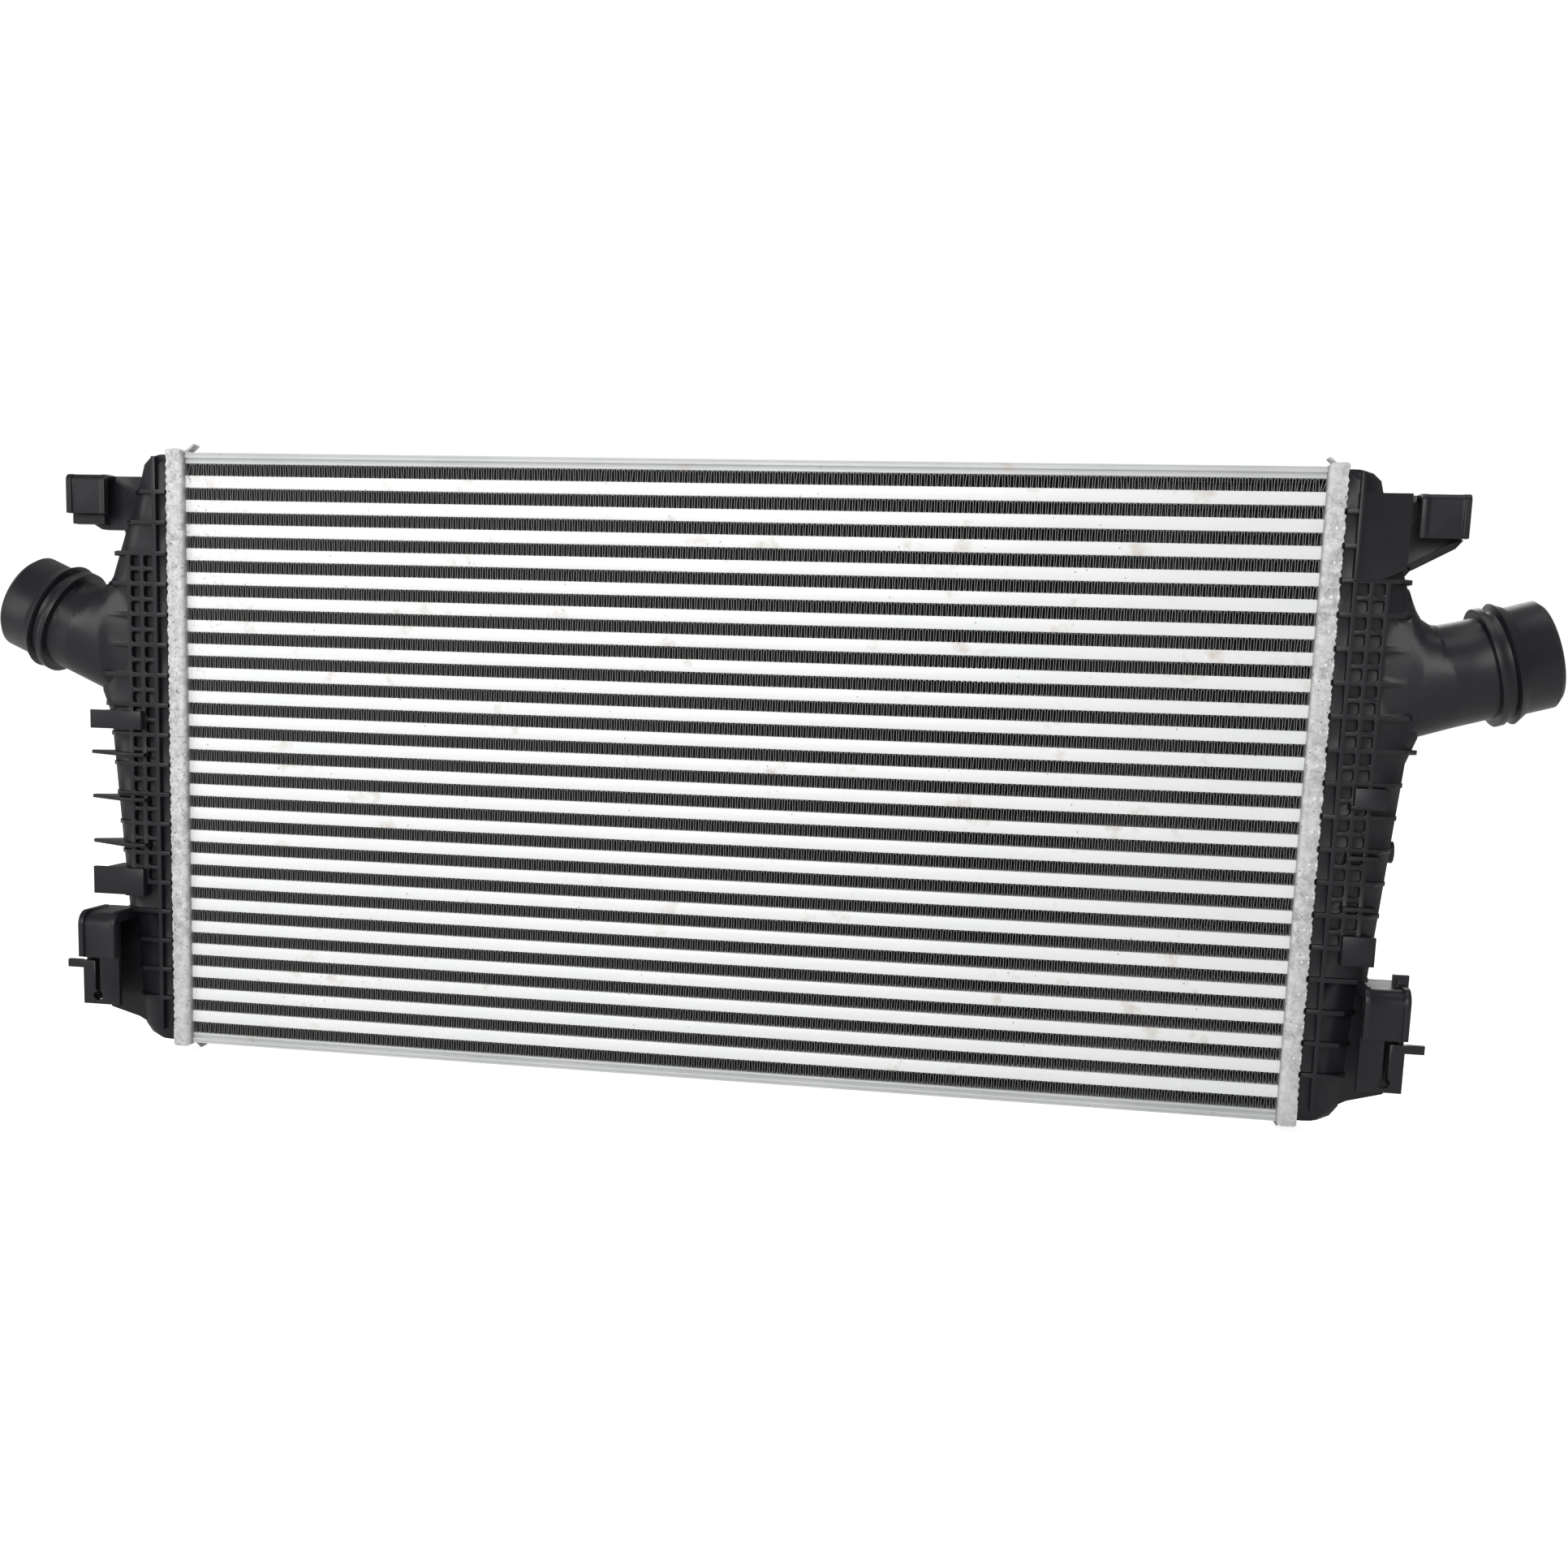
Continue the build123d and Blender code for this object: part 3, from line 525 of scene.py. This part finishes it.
grain = add(tree, "ShaderNodeBump", Height=mottle, Strength=0.7, Distance=0.25 * mm)
skin = add(tree, "ShaderNodeBsdfPrincipled", Base_Color=dirty.outputs[2], Metallic=0.3, Roughness=0.6,
           Normal=grain)
tree.links.new(skin.outputs[0], output.inputs["Surface"])

# Punch marks: smoother than the header, and painted brighter than what lies round them as a highlight on the
# dents.
bright_metal, tree, output = new_material("punched_aluminium_painted_highlight")
spot = add(tree, "ShaderNodeTexCoord").outputs["Object"]
scuff = add(tree, "ShaderNodeTexNoise", Vector=spot, Scale=1 / (scuff_gap * mm), Detail=3.0)
rough = add(tree, "ShaderNodeMapRange", Value=scuff, _1=0.3, _2=0.7, _3=0.3, _4=0.5)
# painted highlight: the marks' colour is paler than the header round them
skin = add(tree, "ShaderNodeBsdfPrincipled", Base_Color=colour("#dcdcdb"), Metallic=0.4, Roughness=rough)
tree.links.new(skin.outputs[0], output.inputs["Surface"])


def crimped(piece, sign):
    """Cuts the rim of a header across and draws its edge back in scallops, with a notch at each rib."""
    shape = bmesh.new()
    shape.from_mesh(piece.data)
    for cut in range(-rim_cuts, rib_count * rim_cuts + 1):
        sliced(shape, (0, 0, (top_rib - cut * rib_pitch / rim_cuts) * mm), (0, 0, 1))
    for vert in shape.verts:
        behind = rim_reach * mm - sign * (vert.co.x - core_shift.x)
        bays = (top_rib * mm - vert.co.z) / (rib_pitch * mm)
        if behind < edge_strip * mm and -1 < bays < rib_count:
            draw = scallop_depth * (0.5 + 0.5 * cos(2 * pi * scallops * bays))
            at_rib = abs(bays - round(bays)) * rib_pitch < notch_half and 0 <= round(bays) < rib_count
            if sign > 0 and at_rib:
                draw = notch_depth
            vert.co.x -= sign * draw * mm
    shape.to_mesh(piece.data)
    shape.free()


def column(tree, given):
    """Points one below the other, by a tree's inputs Count and Pitch."""
    down = add(tree, "ShaderNodeMath", times, _0=given["Pitch"], _1=-1.0)
    offset = add(tree, "ShaderNodeCombineXYZ", X=0.0, Y=0.0, Z=down)
    return add(tree, "GeometryNodeMeshLine", {"mode": "OFFSET"}, Count=given["Count"], Offset=offset)


marks, given = tree_with("punch marks", {
    "Count": "Int", "Pitch": "Float", "Half size": "Vector", "Seed": "Int", "Metal": "Material"})
ball = add(marks, "GeometryNodeMeshUVSphere", Segments=10, Rings=6, Radius=1.0)
spread = add(marks, "FunctionNodeRandomValue", {"data_type": "FLOAT"},
             _2=mark_spread[0], _3=mark_spread[1], Seed=given["Seed"])
scale = add(marks, "ShaderNodeVectorMath", {"operation": "SCALE"}, _0=given["Half size"],
            Scale=spread.outputs[1])
punched = add(marks, "GeometryNodeInstanceOnPoints", Points=column(marks, given), Instance=ball, Scale=scale)
ended(marks, punched, given["Metal"])

for end, sign in sides:
    piece = softened(f"pressed_header_{end}", f"header_{end}", width=0.4, angle=35)
    crimped(piece, sign)
    finish(piece, header_metal)
    for name, behind, half_size in punch_marks:
        values = {"Count": rib_count - 1, "Pitch": rib_pitch * mm, "Half size": [v * mm for v in half_size],
                  "Seed": mark_seeds[end], "Metal": bright_metal}
        place = core_shift + Vector((sign * (rim_reach - behind), -rim_face, top_rib - rib_pitch / 2)) * mm
        piece = grown(f"punched_{name}_{end}", marks, values, place)
        # The left marks are as dull as the header round them.
        finish(piece, header_metal if end == "left" else bright_metal)


# Gaskets: moulded EPDM rings between the tank foot and the header gutter, almost hidden.
# They stay as packed and only get their rubber.
bloom_patch = 5

# Cured rubber: nearly black and dull, with a faint grey bloom that keeps it from looking like the nylon.
rubber, tree, output = new_material("moulded_epdm")
spot = add(tree, "ShaderNodeTexCoord").outputs["Object"]
bloom = add(tree, "ShaderNodeTexNoise", Vector=spot, Scale=1 / (bloom_patch * mm), Detail=3.0)
tone = add(tree, "ShaderNodeMix", {"data_type": "RGBA"}, _0=bloom, _6=colour("#1b1b1b"), _7=colour("#2c2c2c"))
skin = add(tree, "ShaderNodeBsdfPrincipled", Base_Color=tone.outputs[2], Roughness=0.8)
tree.links.new(skin.outputs[0], output.inputs["Surface"])
for end in ("left", "right"):
    ring = bpy.data.objects[f"gasket_{end}"].data
    ring.materials.clear()
    ring.materials.append(rubber)


# Tanks: injection-moulded in black nylon with glass fibre, each with its neck, ribs and hooks in one piece.
# The header's rim is crimped over their foot. Their edges are softly rounded by the mould.
crest = 19.0  # rib crest in front of the middle plane
neck_root = (40.0, 62.0)  # where the neck's middle line starts: out from the crimp, and up from the middle
neck_slopes = {"left": 0.433, "right": 0.285}
neck_cuts = range(38, 65, 2)  # where the fillet is divided, out from the crimp
neck_top = 1.03  # up to this share of the height over the neck's middle line, the skin moves
moulded_lines = {  # top of the neck as packed: reach and height
    "left": ((36.5, 108.0), (41.0, 99.5), (46.2, 93.0), (66.0, 101.6)),
    "right": ((36.5, 112.0), (43.0, 100.5), (50.2, 91.9), (70.0, 97.5))}
smooth_lines = {  # the same line with its fillet rounded
    "left": ((36.5, 108.0), (39.0, 102.8), (42.0, 98.9), (45.5, 96.3),
             (49.0, 95.6), (52.0, 96.1), (55.0, 96.8), (66.0, 101.6)),
    "right": ((36.5, 112.0), (39.5, 103.2), (43.0, 97.2), (47.5, 93.9),
              (52.0, 93.2), (57.0, 94.2), (62.0, 95.4), (70.0, 97.5))}
strip_width = 5.9  # bay next to the crimp
bar_count = 11
bar_run = 18.2  # length of a level bar between two ribs
bar_thickness = 2.2
bar_rise = 4.5  # sunk a little into the flank
bar_sink = 0.25  # below the crest of the ribs
bar_start = 2.5  # the first bar lies halfway down the third bay, and the first pocket a quarter bay higher
pocket_width = 5.8
pocket_height = 6.3
pocket_corner = 1.6
pocket_land = 0.9  # part of a pocket's rim that lies inside the bars round it
pocket_columns = (11.0, 19.0)  # from the crimp
pore_gap = 0.7
flow_patch = 25

# Glass-filled nylon: black with a breath of blue, satin where the melt flowed well and a little duller
# elsewhere, under a fine grain from the mould.
nylon, tree, output = new_material("moulded_glass_filled_nylon")
spot = add(tree, "ShaderNodeTexCoord").outputs["Object"]
pores = add(tree, "ShaderNodeTexNoise", Vector=spot, Scale=1 / (pore_gap * mm), Detail=3.0, Roughness=0.6)
flow = add(tree, "ShaderNodeTexNoise", Vector=spot, Scale=1 / (flow_patch * mm), Detail=3.0)
tone = add(tree, "ShaderNodeMix", {"data_type": "RGBA"}, _0=flow, _6=colour("#15161a"), _7=colour("#1e1f22"))
rough = add(tree, "ShaderNodeMapRange", Value=flow, _1=0.3, _2=0.7, _3=0.33, _4=0.41)
grain = add(tree, "ShaderNodeBump", Height=pores, Strength=0.25, Distance=0.05 * mm)
skin = add(tree, "ShaderNodeBsdfPrincipled", Base_Color=tone.outputs[2], Roughness=rough,
           Specular_IOR_Level=0.36, Normal=grain)
tree.links.new(skin.outputs[0], output.inputs["Surface"])


def height_on(line, reach):
    """Height of a line of points at a reach, and None beyond its ends."""
    for (x0, z0), (x1, z1) in zip(line, line[1:]):
        if x0 <= reach <= x1:
            return z0 + (z1 - z0) * (reach - x0) / (x1 - x0)
    return None


def eased(piece, end, sign):
    """Rounds the fillet between the tank's flank and the top of its neck."""
    shape = bmesh.new()
    shape.from_mesh(piece.data)
    crimp = core_shift.x + sign * rim_reach * mm
    for cut in neck_cuts:
        sliced(shape, (crimp + sign * cut * mm, 0, 0), (1, 0, 0))
    for vert in shape.verts:
        reach = sign * (vert.co.x - crimp) / mm
        moulded = height_on(moulded_lines[end], reach)
        if moulded is None:
            continue
        middle = neck_root[1] + (reach - neck_root[0]) * neck_slopes[end]
        share = (vert.co.z / mm - middle) / (moulded - middle)
        if 0 < share < neck_top:
            vert.co.z += (height_on(smooth_lines[end], reach) - moulded) * share * share * mm
    shape.to_mesh(piece.data)
    shape.free()


# The level bars of the waffle field, one below the other.
bars, given = tree_with("level bars", {
    "Count": "Int", "Pitch": "Float", "Size": "Vector", "Plastic": "Material"})
bar = add(bars, "GeometryNodeMeshCube", Size=given["Size"])
placed = add(bars, "GeometryNodeInstanceOnPoints", Points=column(bars, given), Instance=bar)
ended(bars, placed, given["Plastic"])

# The rounded rims of its pockets: a frame between two outlines, drawn back into the flank.
rims, given = tree_with("rounded pockets", {
    "Count": "Int", "Pitch": "Float", "Width": "Float", "Height": "Float", "Land": "Float",
    "Corner": "Float", "Depth": "Float", "Plastic": "Material"})
inner = add(rims, "GeometryNodeCurvePrimitiveQuadrilateral", Width=given["Width"], Height=given["Height"])
inner = add(rims, "GeometryNodeFilletCurve", {"mode": "POLY"}, Curve=inner, Radius=given["Corner"], Count=4)
land = add(rims, "ShaderNodeMath", times, _0=given["Land"], _1=2.0)
outer_width = add(rims, "ShaderNodeMath", plus, _0=given["Width"], _1=land)
outer_height = add(rims, "ShaderNodeMath", plus, _0=given["Height"], _1=land)
outer = add(rims, "GeometryNodeCurvePrimitiveQuadrilateral", Width=outer_width, Height=outer_height)
both = add(rims, "GeometryNodeJoinGeometry", _0=inner)
rims.links.new(outer.outputs[0], both.inputs[0])
face = add(rims, "GeometryNodeFillCurve", Curve=both)
drop = add(rims, "ShaderNodeMath", times, _0=given["Depth"], _1=-1.0)
drop = add(rims, "ShaderNodeCombineXYZ", X=0.0, Y=0.0, Z=drop)
walls = add(rims, "GeometryNodeExtrudeMesh", Mesh=face, Offset=drop, Individual=False)
both = add(rims, "GeometryNodeJoinGeometry", _0=walls)
rims.links.new(face.outputs[0], both.inputs[0])
closed = add(rims, "GeometryNodeMergeByDistance", Geometry=both, Distance=merge_reach * mm)
placed = add(rims, "GeometryNodeInstanceOnPoints", Points=column(rims, given), Instance=closed,
             Rotation=(pi / 2, 0, 0))
ended(rims, placed, given["Plastic"])

for end, sign in sides:
    piece = softened(f"moulded_tank_{end}", f"tank_{end}", width=0.45, angle=35)
    eased(piece, end, sign)
    finish(piece, nylon)

    values = {"Count": bar_count, "Pitch": rib_pitch * mm,
              "Size": [bar_run * mm, bar_rise * mm, bar_thickness * mm], "Plastic": nylon}
    middle = Vector((sign * (rim_reach + strip_width + bar_run / 2), bar_rise / 2 + bar_sink - crest,
                     top_rib - bar_start * rib_pitch))
    piece = grown(f"moulded_bars_{end}", bars, values, core_shift + middle * mm)
    rounded(piece, width=0.45, angle=60)
    finish(piece, nylon)

    for number, reach in enumerate(pocket_columns, start=1):
        values = {"Count": 2 * bar_count, "Pitch": rib_pitch / 2 * mm, "Width": pocket_width * mm,
                  "Height": pocket_height * mm, "Land": pocket_land * mm, "Corner": pocket_corner * mm,
                  "Depth": bar_rise * mm, "Plastic": nylon}
        middle = Vector((sign * (rim_reach + reach), bar_sink - crest,
                         top_rib - (bar_start - 0.25) * rib_pitch))
        piece = grown(f"moulded_pockets_{end}_{number}", rims, values, core_shift + middle * mm)
        shape = bmesh.new()
        shape.from_mesh(piece.data)
        bmesh.ops.recalc_face_normals(shape, faces=shape.faces)
        shape.to_mesh(piece.data)
        shape.free()
        rounded(piece, width=0.4, angle=60)
        finish(piece, nylon)
